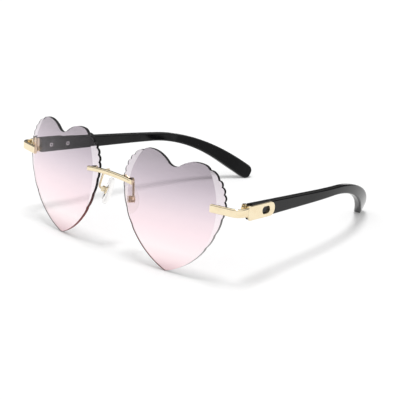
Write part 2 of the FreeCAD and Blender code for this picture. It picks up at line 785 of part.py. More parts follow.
def build_temple_arm():
    """Side outline of the temple crossed with its plan, which leans with the drop of the tip."""
    side = doc.addObject("PartDesign::Body", "temple_side")
    sketch = new_sketch(side, "YZ_Plane", "temple_side_profile")
    top_bend = ("top_bend_along", "top_bend_height")
    low_bend = ("low_bend_along", "low_bend_height")
    tip_top = ("tip_top_along", "tip_top_height")
    tip_low = ("tip_low_along", "tip_low_height")
    front_low = ("temple_front", "temple_front_low")
    front_top = ("temple_front", "temple_front_top")
    outline(sketch, [front_low, low_bend, tip_low, tip_top, top_bend, front_top])
    doc.recompute()
    shape = pad(side, sketch, "temple_side_pad", "side_blank_width", midplane=True)
    top_radius = fitting_radius("top_bend_radius", front_top, top_bend, tip_top, "tip_round")
    low_radius = fitting_radius("low_bend_radius", front_low, low_bend, tip_low, "tip_round")
    bends = (("top_bend", top_radius, top_bend), ("low_bend", low_radius, low_bend),
             ("tip_top_end", "tip_round", tip_top), ("tip_low_end", "tip_round", tip_low))
    for name, radius, corner in bends:
        along, height = (number_of(formula) for formula in corner)
        shape = round_edges(side, shape, name, radius, edge_at(along, height, 0))

    plan = doc.addObject("PartDesign::Body", "temple_plan")
    sketch = new_sketch(plan, "XY_Plane", "temple_plan_profile")
    turn = "plan_bend_angle * 1 deg"
    lean = "temple_thickness / 2 * tan( plan_bend_angle / 2 * 1 deg )"
    outer_bend = (ARM_OUTER, "plan_bend_along + " + lean)
    inner_bend = (ARM_INNER, "plan_bend_along - " + lean)
    tail_across = " - plan_tail * sin( %s )" % turn
    tail_along = " + plan_tail * cos( %s )" % turn
    lead = "temple_front - plan_tail"
    outline(sketch, [(ARM_OUTER, lead), outer_bend,
                     (outer_bend[0] + tail_across, outer_bend[1] + tail_along),
                     (inner_bend[0] + tail_across, inner_bend[1] + tail_along),
                     inner_bend, (ARM_INNER, lead)])
    doc.recompute()
    strip = pad(plan, sketch, "temple_plan_pad", "plan_blank_height", midplane=True)
    bends = (("outer_sweep", "plan_bend_radius + temple_thickness / 2", outer_bend),
             ("inner_sweep", "plan_bend_radius - temple_thickness / 2", inner_bend))
    for name, radius, corner in bends:
        across, along = (number_of(formula) for formula in corner)
        strip = round_edges(plan, strip, name, radius, edge_at(across, along, 2))
    plan.Placement = Placement(ORIGIN, Rotation(ACROSS, -size("plan_lean_angle")))
    crossed = common("temple_crossed", side, plan)
    doc.recompute()

    body = doc.addObject("PartDesign::Body", "temple_rounded")
    body.BaseFeature = crossed
    doc.recompute()
    base = body.Group[0]
    front = size("temple_front")

    def long_edge(edge):
        first, last = edge.firstVertex().Point, edge.lastVertex().Point
        if same(first.y, front) and same(last.y, front):
            return False
        chord = last.sub(first)
        return not (same(abs(chord.x), edge.Length) or same(abs(chord.z), edge.Length))

    round_edges(body, base, "temple_rounding", "temple_edge_round", long_edge)

    gap = "tongue_clearance"
    recess = block("tongue_recess",
                   (ARM_OUTER + " - temple_leaf_thickness - " + gap, "temple_front - " + gap,
                    "- tongue_height / 2 - " + gap),
                   (ARM_OUTER + " + " + gap, "temple_front + tongue_length + " + gap,
                    "tongue_height / 2 + " + gap))
    tools = [recess]
    for name, along in (("front", "rivet_front_along"), ("back", "rivet_back_along")):
        start = Vector(number_of(ARM_INNER + " - rivet_head_height"), size(along),
                       size("cap_middle_height"))
        tools.append(rod(name + "_rivet_hole", "rivet_radius + rivet_clearance",
                         "temple_thickness + 2 * rivet_head_height", start, ACROSS))
    arm = cut("left_temple_arm", body, fuse("temple_cuts", *tools))
    arm.Placement = hinge_frame
    return arm


def build_temple_cap():
    """Plate on the outer face of the temple with a rounded end and an oval window."""
    body = doc.addObject("PartDesign::Body", "left_temple_cap")
    sketch = new_sketch(body, "YZ_Plane", "cap_profile")
    neck_low, neck_high = "- end_bar_height / 2", "end_bar_height / 2"
    low = "cap_middle_height - cap_height / 2"
    high = "cap_middle_height + cap_height / 2"
    outline(sketch, [("- hinge_lead", neck_low), ("cap_neck_end", neck_low), ("cap_shoulder", low),
                     ("cap_length", low), ("cap_length", high), ("cap_shoulder", high),
                     ("cap_neck_end", neck_high), ("- hinge_lead", neck_high)])
    doc.recompute()
    plate = pad(body, sketch, "cap_pad", "cap_thickness")
    end = size("cap_length")
    for name, formula in (("cap_low_end", low), ("cap_high_end", high)):
        plate = round_edges(body, plate, name, "cap_end_round",
                            edge_at(end, number_of(formula), 0))
    window = new_sketch(body, "YZ_Plane", "window_profile")
    sill = "cap_middle_height - window_height / 2"
    lintel = "cap_middle_height + window_height / 2"
    outline(window, [("window_start", sill), ("window_end", sill), ("window_end", lintel),
                     ("window_start", lintel)])
    doc.recompute()
    plate = pocket(body, window, "cap_window", "cap_thickness * 3")
    for name, along, height in (("window_a", "window_start", sill), ("window_b", "window_end", sill),
                                ("window_c", "window_end", lintel),
                                ("window_d", "window_start", lintel)):
        plate = round_edges(body, plate, name, "window_round",
                            edge_at(size(along), number_of(height), 0))
    face = size("cap_thickness")

    def outer_rim(edge):
        on_face = all(same(corner.X, face) for corner in edge.Vertexes)
        at_joint = all(same(corner.Y, -size("hinge_lead")) for corner in edge.Vertexes)
        return on_face and not at_joint

    round_edges(body, plate, "cap_rounding", "cap_edge_round", outer_rim)
    body.Placement = hinge_frame.multiply(Placement(Vector(number_of(ARM_OUTER), 0, 0), Rotation()))
    return body


def build_rivets():
    """Two rivets through the arm, their ring heads on the inner face."""
    end = "rivet_head_height + temple_thickness"
    corners = [("0", "rivet_dimple_depth"), ("rivet_dimple_radius", "rivet_dimple_depth"),
               ("rivet_dimple_radius", "0"), ("rivet_head_radius", "0"),
               ("rivet_head_radius", "rivet_head_height"), ("rivet_radius", "rivet_head_height"),
               ("rivet_radius", end), ("0", end)]
    rivets = []
    for name, along in (("front_rivet", "rivet_front_along"), ("back_rivet", "rivet_back_along")):
        start = Vector(number_of(ARM_INNER + " - rivet_head_height"), size(along),
                       size("cap_middle_height"))
        rivets.append(turned(name, corners, along_way(start, ACROSS, hinge_frame)))
    return group("left_temple_rivets", *rivets)


# Frame of the left nose pad: X along its screw, Y towards the nose, Z along the pad.
pad_middle = Vector(inner_seat.x - size("pad_box_inset"), size("pad_box_back"),
                    size("pad_box_height"))
pad_frame = Placement(pad_middle,
                      Rotation(UP, RIGHT_ANGLE - size("pad_splay_angle")).multiply(
                          Rotation(ACROSS, -size("pad_frontal_angle"))))
BOX_BACK = "( tongue_end_radius + box_side_gap + box_floor )"
SLOT_HALF = "( tongue_half_width + box_side_gap )"
BOX_HALF = "( tongue_half_width + box_side_gap + box_wall )"
PAD_BORE = "pad_screw_radius + pad_screw_gap"


def build_pad_box():
    """Fork that takes the tongue of the pad, drilled for its screw."""
    shell = block("box_blank", ("- " + BOX_HALF, "- " + BOX_BACK, "- box_half_length"),
                  (BOX_HALF, "box_front", "box_half_length"), pad_frame)
    slot = block("box_slot", ("- " + SLOT_HALF, "- tongue_end_radius - box_side_gap",
                              "- 2 * box_half_length"),
                 (SLOT_HALF, "2 * box_front", "2 * box_half_length"), pad_frame)
    bore = rod("box_bore", PAD_BORE, "4 * " + BOX_HALF,
               Vector(-2 * number_of(BOX_HALF), 0, 0), ACROSS, pad_frame)
    return cut("left_pad_box", shell, fuse("box_cuts", slot, bore))


def build_pad_core():
    """Plate set in the pad with a tongue that turns on the pad screw."""
    plate = block("core_plate", ("- core_half_width", "pad_standoff", "- core_half_length"),
                  ("core_half_width", "pad_standoff + core_thickness", "core_half_length"),
                  pad_frame)
    neck = block("core_neck", ("- tongue_half_width", "0", "- tongue_end_radius"),
                 ("tongue_half_width", "pad_standoff", "tongue_end_radius"), pad_frame)
    start = Vector(-size("tongue_half_width"), 0, 0)
    eye = rod("core_eye", "tongue_end_radius", "2 * tongue_half_width", start, ACROSS,
              pad_frame)
    bore = rod("core_bore", PAD_BORE, "2 * tongue_half_width", start, ACROSS, pad_frame)
    return cut("left_pad_core", fuse("core_blank", plate, neck, eye), bore)


def oval_face():
    """Oval of two end arcs and two side arcs in the XZ plane, meeting smoothly."""
    half_width = size("pad_half_width")
    end_radius = size("pad_end_radius")
    end_height = size("pad_half_length") - end_radius
    side_radius = ((half_width ** 2 + end_height ** 2 - end_radius ** 2)
                   / (2 * (half_width - end_radius)))
    lean = math.asin(end_height / (side_radius - end_radius))
    join = around(Vector(0, 0, end_height), end_radius, lean)
    arcs = []
    for side in (1, -1):
        first = Vector(side * join.x, 0, -side * join.z)
        last = Vector(side * join.x, 0, side * join.z)
        following = Vector(-side * join.x, 0, side * join.z)
        arcs.append(Part.Arc(first, Vector(side * half_width, 0, 0), last).toShape())
        crown = Vector(0, 0, side * size("pad_half_length"))
        arcs.append(Part.Arc(last, crown, following).toShape())
    return Part.Face(Part.Wire(arcs))


def build_nose_pad():
    """Oval soft pad with rounded rims and a recess for its core."""
    oval = doc.addObject("Part::Feature", "pad_oval")
    oval.Shape = oval_face()
    oval.Placement = pad_frame.multiply(Placement(BACK * size("pad_standoff"), Rotation()))
    slab = doc.addObject("Part::Extrusion", "pad_slab")
    slab.Base = oval
    slab.DirMode = "Custom"
    slab.Dir = pad_frame.Rotation.multVec(BACK)
    slab.Solid = True
    bind(slab, LengthFwd="pad_thickness")
    doc.recompute()
    body = doc.addObject("PartDesign::Body", "pad_rounded")
    body.BaseFeature = slab
    doc.recompute()
    through = pad_frame.Rotation.multVec(BACK)

    def rim(edge):
        chord = edge.lastVertex().Point.sub(edge.firstVertex().Point)
        return same(chord.dot(through), 0)

    round_edges(body, body.Group[0], "pad_rounding", "pad_edge_round", rim)
    gap = "core_clearance"
    recess = block("core_recess", ("- core_half_width - " + gap, "0", "- core_half_length - " + gap),
                   ("core_half_width + " + gap, "pad_standoff + core_thickness + " + gap,
                    "core_half_length + " + gap), pad_frame)
    return cut("left_nose_pad", body, recess)


def build_pad_screw():
    """Slotted screw across the pad box."""
    top = "2 * " + BOX_HALF
    crown = top + " + pad_screw_head_height"
    corners = [("0", "0"), ("pad_screw_radius", "0"), ("pad_screw_radius", top),
               ("pad_screw_head_radius", top), ("pad_screw_head_radius", crown), ("0", crown)]
    place = along_way(Vector(-number_of(BOX_HALF), 0, 0), ACROSS, pad_frame)
    screw = turned("pad_screw", corners, place)
    return slotted(screw, "pad_slot_width", "pad_slot_depth", crown, "pad_screw_head_radius")


def bent_wire(points, radius):
    """Path of straight runs through the points, with arcs of one radius at the bends."""
    edges = []
    start = points[0]
    for before, corner, after in zip(points, points[1:], points[2:]):
        inward = before.sub(corner).normalize()
        outward = after.sub(corner).normalize()
        half_turn = (math.pi - inward.getAngle(outward)) / 2
        setback = radius * math.tan(half_turn)
        first = corner + inward * setback
        last = corner + outward * setback
        bisector = (inward + outward).normalize()
        middle = corner + bisector * (radius / math.cos(half_turn) - radius)
        edges.append(Part.LineSegment(start, first).toShape())
        edges.append(Part.Arc(first, middle, last).toShape())
        start = last
    edges.append(Part.LineSegment(start, points[-1]).toShape())
    return Part.Wire(edges)


def build_pad_arm():
    """Round wire from the back of the bridge, round the lens edge and down to the pad box."""
    side = inner_seat.x - size("arm_root_inset")
    level = bridge_ends_height + arch_height(side)
    back = -number_of(BOX_BACK)
    drop = back - size("arm_drop_back")
    points = [Vector(side, bridge_back, level), Vector(side, size("arm_back"), level),
              pad_frame.multVec(Vector(0, drop, size("arm_drop_start"))),
              pad_frame.multVec(Vector(0, drop, 0)), pad_frame.multVec(Vector(0, back, 0))]
    path = bent_wire(points, size("arm_bend_radius"))
    section = Part.Wire(Part.Circle(points[0], BACK, size("arm_radius")).toShape())
    wire = doc.addObject("Part::Feature", "left_pad_arm")
    wire.Shape = path.makePipeShell([section], True, True)
    return wire


left = {
    "left_lens": build_lens(),
    "left_end_piece": build_end_piece(),
    "left_front_hinge": build_front_hinge(),
    "left_temple_hinge": build_temple_hinge(),
    "left_temple_arm": build_temple_arm(),
    "left_temple_cap": build_temple_cap(),
    "left_temple_rivets": build_rivets(),
    "left_pad_arm": build_pad_arm(),
    "left_pad_box": build_pad_box(),
    "left_pad_core": build_pad_core(),
    "left_nose_pad": build_nose_pad(),
}
hinge_screw = build_hinge_screw()
pad_screw = build_pad_screw()
pieces = dict(left)
pieces["bridge"] = build_bridge()
for item in build_fastenings():
    pieces[item.Name] = item
for label, screw in (("hinge_screws", hinge_screw), ("pad_screws", pad_screw)):
    pieces[label] = group(label, screw, mirrored("right_" + screw.Name, screw))
doc.recompute()


def lowest(shape, tilt):
    turned_shape = shape.copy()
    turned_shape.rotate(ORIGIN, ACROSS, -tilt)
    return turned_shape.optimalBoundingBox(False).ZMin


def resting_tilt():
    """Angle at which the lens tips and the temple tips stand on one floor."""
    lens = left["left_lens"].Shape
    temple = left["left_temple_arm"].Shape
    low, high = 0.0, STEEPEST_TILT
    while high - low > TILT_PRECISION:
        middle = (low + high) / 2
        if lowest(temple, middle) > lowest(lens, middle):
            low = middle
        else:
            high = middle
    return (low + high) / 2


# Stand the part on the floor with its origin under the middle of its box.
tilt_angle = resting_tilt()
tilted = Placement(ORIGIN, Rotation(ACROSS, -tilt_angle))
whole = Part.makeCompound([item.Shape for item in pieces.values()])
whole.Placement = tilted
room = whole.optimalBoundingBox(False)
shift = Vector(0, -(room.YMin + room.YMax) / 2, -room.ZMin)
stand = Placement(shift, tilted.Rotation)
for item in pieces.values():
    item.Placement = stand.multiply(item.Placement)
doc.recompute()
for name, item in left.items():
    other = name.replace("left_", "right_")
    pieces[other] = mirrored(other, item)
doc.recompute()

for item in doc.Objects:
    if "Invalid" in item.State or "Error" in item.State:
        raise RuntimeError("%s is %s" % (item.Name, item.State))

os.makedirs("parts", exist_ok=True)
for name, item in pieces.items():
    item.Label = name
    if item.Shape.isNull() or not item.Shape.isValid() or not item.Shape.Solids:
        raise RuntimeError(name + " has no valid solid")
    item.Shape.exportStep("parts/%s.step" % name)
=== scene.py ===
import json
import math
from typing import NamedTuple

import bmesh
import bpy
from bpy.props import FloatProperty, FloatVectorProperty, IntProperty, PointerProperty
from bpy.types import NodeSocket, Operator, Panel, PropertyGroup
from mathutils import Matrix, Vector


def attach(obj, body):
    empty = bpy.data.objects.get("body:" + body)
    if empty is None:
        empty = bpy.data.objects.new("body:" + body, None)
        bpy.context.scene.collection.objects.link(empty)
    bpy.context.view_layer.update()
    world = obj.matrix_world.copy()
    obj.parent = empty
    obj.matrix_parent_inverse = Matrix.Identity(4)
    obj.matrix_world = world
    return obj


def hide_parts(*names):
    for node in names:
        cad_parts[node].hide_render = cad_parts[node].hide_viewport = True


bl_info = {
    "name": "Heart Sunglasses",
    "version": (1, 0, 0),
    "blender": (4, 5, 0),
    "location": "3D View > Sidebar > Sunglasses",
    "description": "Finishes the heart sunglasses and sets up their studio",
    "category": "Object",
}

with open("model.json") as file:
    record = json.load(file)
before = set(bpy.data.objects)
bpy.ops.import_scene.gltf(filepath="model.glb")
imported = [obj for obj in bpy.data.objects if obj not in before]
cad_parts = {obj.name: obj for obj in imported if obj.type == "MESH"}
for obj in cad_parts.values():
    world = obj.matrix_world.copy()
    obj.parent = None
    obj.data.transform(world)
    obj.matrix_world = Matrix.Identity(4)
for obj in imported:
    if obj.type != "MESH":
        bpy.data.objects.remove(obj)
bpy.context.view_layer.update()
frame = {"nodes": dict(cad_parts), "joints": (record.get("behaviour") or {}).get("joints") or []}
NODES = frame["nodes"]
JOINTS = {joint["name"]: joint for joint in frame["joints"]}
SIDES = {"left": 1, "right": -1}
MILLIMETRE = 0.001
WHITE = (1.0, 1.0, 1.0, 1.0)
SENSOR_WIDTH = 36.0

# Stops of the lens's tint from the tip up. Each has a level and a tint in LensSettings.
TINT_STOPS = ("tip", "low", "clear", "blush", "middle", "upper", "lobe", "top")

# How squarely a face of a lens lies across the line to the centre of its curve: fully on the
# front and back, a little less on the bevels and hardly at all on the edge.
BEVEL_LEAST = 0.80
BEVEL_MOST = 0.9985
EDGE_MOST = 0.5

# Ranges of noise that turn into smudges, hairlines and streaks.
SMUDGE_RANGE = (0.46, 0.68)
HAIRLINE_RANGE = (0.62, 0.70)
STREAK_RANGE = (0.42, 0.72)
HAIRLINE_STRETCH = (1.0, 0.06, 1.0)
HAIRLINE_DEPTH = 0.6

# Least share of the warm plate, and the share of a clear tint that is left in deeper patches.
LEAST_WARMTH = 0.3
DEEPER_TINT = 0.93

# Digits to which the corners of neighbouring rivet faces agree, and rounds that settle the
# direction of a rivet.
CORNER_DIGITS = 7
DIRECTION_ROUNDS = 20


class Marks(NamedTuple):
    """Scales of the marks of handling on a finish, with the strength and depth of its relief."""

    smudge: float
    grain: float
    hairline: float
    strength: float
    depth: float


LENS_MARKS = Marks(smudge=70.0, grain=900.0, hairline=260.0, strength=0.02, depth=0.00001)
PLATE_MARKS = Marks(smudge=220.0, grain=1800.0, hairline=900.0, strength=0.05, depth=0.00002)
FINE_MARKS = Marks(smudge=300.0, grain=2400.0, hairline=900.0, strength=0.05, depth=0.00002)
TEMPLE_MARKS = Marks(smudge=90.0, grain=700.0, hairline=420.0, strength=0.03, depth=0.00002)
CLEAR_MARKS = Marks(smudge=400.0, grain=2600.0, hairline=1200.0, strength=0.05, depth=0.00002)


def length(name, description, millimetres):
    return FloatProperty(name=name, description=description, default=millimetres * MILLIMETRE,
                         min=0.0, unit="LENGTH", precision=5)


def place(name, description, millimetres):
    return FloatVectorProperty(name=name, description=description, size=3, subtype="TRANSLATION",
                               default=[number * MILLIMETRE for number in millimetres])


def colour(name, description, rgb):
    return FloatVectorProperty(name=name, description=description, size=3, subtype="COLOR",
                               min=0.0, max=1.0, default=rgb)


def share(name, description, value):
    return FloatProperty(name=name, description=description, default=value, min=0.0, max=1.0,
                         subtype="FACTOR")


def amount(name, description, value):
    return FloatProperty(name=name, description=description, default=value, min=0.0)


def angle(name, description, degrees):
    return FloatProperty(name=name, description=description, default=math.radians(degrees),
                         subtype="ANGLE")


def index(description, value):
    return FloatProperty(name="Refractive Index", description=description, default=value,
                         min=1.0, max=2.0)


class LensSettings(PropertyGroup):
    """Tint and polish of the lenses, and the light and shade painted on their ground edge."""

    curve_centre: place("Curve Centre", "Centre of the left lens's ball-shaped front",
                        (9.722, 167.978, 5.698))
    tip_tint: colour("Tip Tint", "Tint at the lower tip", (1.000, 0.775, 0.800))
    low_tint: colour("Low Tint", "Tint above the tip", (1.000, 0.830, 0.850))
    clear_tint: colour("Clear Tint", "Tint of the clearest band", (1.000, 0.920, 0.935))
    blush_tint: colour("Blush Tint", "Tint below the middle", (1.000, 0.828, 0.870))
    middle_tint: colour("Middle Tint", "Tint at the middle", (0.895, 0.752, 0.802))
    upper_tint: colour("Upper Tint", "Tint above the middle", (0.725, 0.630, 0.690))
    lobe_tint: colour("Lobe Tint", "Tint of the lobes", (0.550, 0.482, 0.540))
    top_tint: colour("Top Tint", "Tint at the top", (0.410, 0.368, 0.406))
    tip_level: length("Tip Level", "Height where the tip tint ends", 1.0)
    low_level: length("Low Level", "Height of the low tint", 5.0)
    clear_level: length("Clear Level", "Height of the clearest band", 10.5)
    blush_level: length("Blush Level", "Height of the blush tint", 18.5)
    middle_level: length("Middle Level", "Height of the middle tint", 26.0)
    upper_level: length("Upper Level", "Height of the upper tint", 34.0)
    lobe_level: length("Lobe Level", "Height of the lobes' tint", 42.0)
    top_level: length("Top Level", "Height where the top tint starts", 50.0)
    bevel_tint: colour("Bevel Tint", "Tint left where the front is ground away",
                       (1.000, 0.970, 0.980))
    polish: share("Polish", "Roughness of the clean faces", 0.0)
    smudged: share("Smudged", "Roughness where they have been handled", 0.012)
    bend_index: index("Index of the lens plastic", 1.5)
    gloss: share("Gloss", "Share of the mirror left by the coating", 0.12)
    # The edge colours are painted light and shade: black painted shade at the top, grey and dark
    # red painted light near the tip.
    edge_top_painted_shade: colour("Edge Top", "Colour of the ground edge at the top", (0.006, 0.005, 0.006))
    edge_tip_painted_light: colour("Edge Tip", "Colour of the ground edge near the tip, away from the nose",
                     (0.380, 0.360, 0.360))
    nose_edge_painted_light: colour("Nose Edge", "Colour of the ground edge near the tip on the nose's side",
                      (0.260, 0.065, 0.060))
    edge_frost: share("Edge Frost", "Roughness of the ground edge", 0.45)
    edge_worn: share("Edge Worn", "Roughness of the ground edge where it has been handled", 0.55)
    edge_gloss: share("Edge Gloss", "Strength of the ground edge's reflection", 0.20)
    # Heights and widths over which the painted shade and light on the edge change.
    edge_low: length("Edge Low", "Height where the edge starts to darken", 10.0)
    edge_high: length("Edge High", "Height where the edge is dark", 27.0)
    edge_rise: length("Edge Rise", "How much higher the edge away from the nose stays pale", 10.0)
    tip_offset: length("Tip Offset", "Distance of a lens's tip from the middle", 36.45)
    tip_blend: length("Tip Blend", "Width over which the two sides of the edge meet", 4.0)


class MetalSettings(PropertyGroup):
    """Finish of the plated metal and the rivets, with shade painted in the rivets' hollows."""

    gold: colour("Gold", "Plated colour", (0.920, 0.805, 0.575))
    warm_gold: colour("Warm Gold", "Plated colour where it is thicker", (0.835, 0.665, 0.425))
    steel: colour("Steel", "Colour of the rivets' rims", (0.920, 0.910, 0.900))
    # The colour of the rivets' hollows is painted shade.
    hollow: colour("Hollow", "Colour of the hollows in the rivets", (0.030, 0.029, 0.030))
    hollow_radius: length("Hollow Radius", "Radius of the hollows in the rivets", 0.57)
    polish: share("Polish", "Roughness where the plate is clean", 0.10)
    smudged: share("Smudged", "Roughness where it has been handled", 0.22)
    satin: share("Satin", "Roughness of the satin plate on the nose fittings", 0.34)
    satin_smudged: share("Satin Smudged", "Roughness of the satin plate where it has been handled",
                         0.46)


class TempleSettings(PropertyGroup):
    """Finish of the black temples."""

    black: colour("Black", "Colour of the plastic", (0.0015, 0.0015, 0.002))
    grey: colour("Grey", "Colour of its faint streaks", (0.004, 0.004, 0.0045))
    polish: share("Polish", "Roughness of the clean polish", 0.07)
    smudged: share("Smudged", "Roughness where it has been handled", 0.16)
    bend_index: index("Index of the polished skin", 1.36)


class FittingSettings(PropertyGroup):
    """Finish of the clear bushes and washers."""

    tint: colour("Tint", "Colour of the clear plastic", (0.95, 0.94, 0.93))
    polish: share("Polish", "Roughness of the clean plastic", 0.05)
    smudged: share("Smudged", "Roughness where it has been handled", 0.15)
    bend_index: index("Index of the clear plastic", 1.49)


class PadSettings(PropertyGroup):
    """Shape and finish of the soft nose pads."""

    half_length: length("Half Length", "Half of the pad's length", 6.4)
    half_width: length("Half Width", "Half of the pad's width", 3.6)
    thickness: length("Thickness", "Thickness of the pad", 2.4)
    standoff: length("Standoff", "Gap between the pad's screw and its back", 0.7)
    fork_half_width: length("Fork Half Width", "Half of the width of the pad's fork", 1.05)
    core_half_length: length("Core Half Length", "Half of the length of the core's pocket", 1.55)
    core_half_width: length("Core Half Width", "Half of the width of the core's pocket", 1.55)
    core_depth: length("Core Depth", "Depth of the core's pocket", 0.73)
    lean: angle("Lean", "Lean of the pad from upright", 15.0)
    taper: share("Taper", "How much narrower the upper end is", 0.16)
    rounding: share("Rounding", "Share of the thickness that rounds each rim", 0.42)
    lip: share("Lip", "Share of the half width that the pocket's rim is first set in by", 0.12)
    corners: IntProperty(name="Corners", description="Corners of the pad's outline", default=24)
    round_steps: IntProperty(name="Round Steps", description="Steps in each rounded rim", default=5)
    tint: colour("Tint", "Colour of the clear silicone", (0.985, 0.970, 0.955))
    polish: share("Polish", "Roughness of the clean silicone", 0.05)
    smudged: share("Smudged", "Roughness where it has been handled", 0.12)
    bend_index: index("Index of the silicone, low so that the pads hardly show", 1.04)


class StageSettings(PropertyGroup):
    """Camera, floor and light."""

    target: place("Target", "Point that the camera looks at", (37.54, -42.83, 28.65))
    azimuth: angle("Azimuth", "Way round to the camera", 46.87)
    elevation: angle("Elevation", "Height of the camera above the horizon", 17.91)
    distance: length("Distance", "Distance from the target to the camera", 779.0)
    focal: FloatProperty(name="Focal Length", description="Focal length of the camera",
                         default=157.2, unit="CAMERA")
    floor_size: length("Floor Size", "Half of the floor's width", 6000.0)
    floor_colour: colour("Floor Colour", "Colour of the floor", (0.82, 0.82, 0.82))
    floor_lift: amount("Floor Lift", "Brightness added to the floor as it is seen", 0.18)
    sky: amount("Sky", "Brightness of the studio around the part", 0.58)
    screen: share("Screen", "Brightness of the dark walls in reflections", 0.10)
    side_screen: share("Side Screen", "Brightness of the wall at the wearer's left", 0.50)
    side_start: share("Side Start", "How far to the left the walls start to brighten", 0.5)
    side_end: share("Side End", "How far to the left the wall is fully bright", 0.9)
    screen_low: share("Screen Low", "Rise at which the dark walls end in reflections", 0.35)
    screen_high: share("Screen High", "Rise at which the bright ceiling starts", 0.60)
    sun: amount("Sun", "Brightness of the overhead lamp", 1.55)
    sun_spread: angle("Sun Spread", "Width of the overhead lamp in the sky", 20.0)
    sun_lean: angle("Sun Lean", "Lean of the overhead lamp about the X axis", -1.5)


class SunglassesSettings(PropertyGroup):
    """All settings of the part and its studio."""

    lens: PointerProperty(type=LensSettings)
    metal: PointerProperty(type=MetalSettings)
    temple: PointerProperty(type=TempleSettings)
    fitting: PointerProperty(type=FittingSettings)
    pad: PointerProperty(type=PadSettings)
    stage: PointerProperty(type=StageSettings)


def settings():
    return bpy.context.scene.heart_sunglasses


def add(tree, kind, inputs=None, **traits):
    """A node with its traits set and its inputs filled or linked."""
    node = tree.nodes.new(kind)
    for trait, value in traits.items():
        setattr(node, trait, value)
    for key, value in (inputs or {}).items():
        if isinstance(value, NodeSocket):
            tree.links.new(value, node.inputs[key])
        else:
            node.inputs[key].default_value = value
    return node


def maths(tree, operation, first, second=0.0):
    return add(tree, "ShaderNodeMath", {0: first, 1: second}, operation=operation).outputs[0]


def vectors(tree, operation, first, second=(0.0, 0.0, 0.0)):
    """A number for a dot product or a length, and a vector for any other operation."""
    node = add(tree, "ShaderNodeVectorMath", {0: first, 1: second}, operation=operation)
    return node.outputs["Value" if operation in ("DOT_PRODUCT", "LENGTH") else "Vector"]


def span(tree, value, start, end, low=0.0, high=1.0):
    """The value mapped from one range to another, held at both ends."""
    inputs = {"Value": value, "From Min": start, "From Max": end, "To Min": low, "To Max": high}
    return add(tree, "ShaderNodeMapRange", inputs).outputs["Result"]


def blend(tree, factor, first, second):
    """Mix of two colours."""
    node = add(tree, "ShaderNodeMix", data_type="RGBA")
    for name, value in (("Factor_Float", factor), ("A_Color", first), ("B_Color", second)):
        socket = next(entry for entry in node.inputs if entry.identifier == name)
        if isinstance(value, NodeSocket):
            tree.links.new(value, socket)
        else:
            socket.default_value = value
    return next(entry for entry in node.outputs if entry.identifier == "Result_Color")


def opaque(rgb):
    return (*rgb, 1.0)


def handled_group():
    """Shared node group: smudges, grain and hairline scratches of a handled surface."""
    name = "handled_surface"
    if name in bpy.data.node_groups:
        return bpy.data.node_groups[name]
    tree = bpy.data.node_groups.new(name, "ShaderNodeTree")
    tree.interface.new_socket("Vector", in_out="INPUT", socket_type="NodeSocketVector")
    for entry in ("Smudge Scale", "Grain Scale", "Hairline Scale"):
        tree.interface.new_socket(entry, in_out="INPUT", socket_type="NodeSocketFloat")
    for entry in ("Smudge", "Grain", "Height"):
        tree.interface.new_socket(entry, in_out="OUTPUT", socket_type="NodeSocketFloat")
    source = add(tree, "NodeGroupInput").outputs
    drain = add(tree, "NodeGroupOutput").inputs
    smear = add(tree, "ShaderNodeTexNoise", {"Vector": source["Vector"], "Detail": 4.0,
                                             "Scale": source["Smudge Scale"], "Distortion": 0.6})
    grain = add(tree, "ShaderNodeTexNoise", {"Vector": source["Vector"], "Detail": 3.0,
                                             "Scale": source["Grain Scale"]})
    drawn = add(tree, "ShaderNodeMapping", {"Vector": source["Vector"], "Scale": HAIRLINE_STRETCH})
    hairs = add(tree, "ShaderNodeTexNoise", {"Vector": drawn.outputs["Vector"], "Detail": 2.0,
                                             "Scale": source["Hairline Scale"]})
    hairline = span(tree, hairs.outputs["Fac"], *HAIRLINE_RANGE)
    height = maths(tree, "SUBTRACT", grain.outputs["Fac"],
                   maths(tree, "MULTIPLY", hairline, HAIRLINE_DEPTH))
    tree.links.new(span(tree, smear.outputs["Fac"], *SMUDGE_RANGE), drain["Smudge"])
    tree.links.new(grain.outputs["Fac"], drain["Grain"])
    tree.links.new(height, drain["Height"])
    return tree


def new_material(name):
    material = bpy.data.materials.new(name)
    material.use_nodes = True
    tree = material.node_tree
    return material, tree, tree.nodes["Principled BSDF"]


def own_place(tree):
    """The piece's own coordinates."""
    return add(tree, "ShaderNodeTexCoord").outputs["Object"]


def handle(tree, shader, spot, marks, clean, handled):
    """Uneven polish and fine relief of a handled finish, and the masks that they come from."""
    inputs = {"Vector": spot, "Smudge Scale": marks.smudge, "Grain Scale": marks.grain,
              "Hairline Scale": marks.hairline}
    worn = add(tree, "ShaderNodeGroup", inputs, node_tree=handled_group()).outputs
    polish = span(tree, worn["Smudge"], 0.0, 1.0, clean, handled)
    tree.links.new(polish, shader.inputs["Roughness"])
    relief = add(tree, "ShaderNodeBump", {"Height": worn["Height"], "Strength": marks.strength,
                                          "Distance": marks.depth})
    tree.links.new(relief.outputs["Normal"], shader.inputs["Normal"])
    return worn


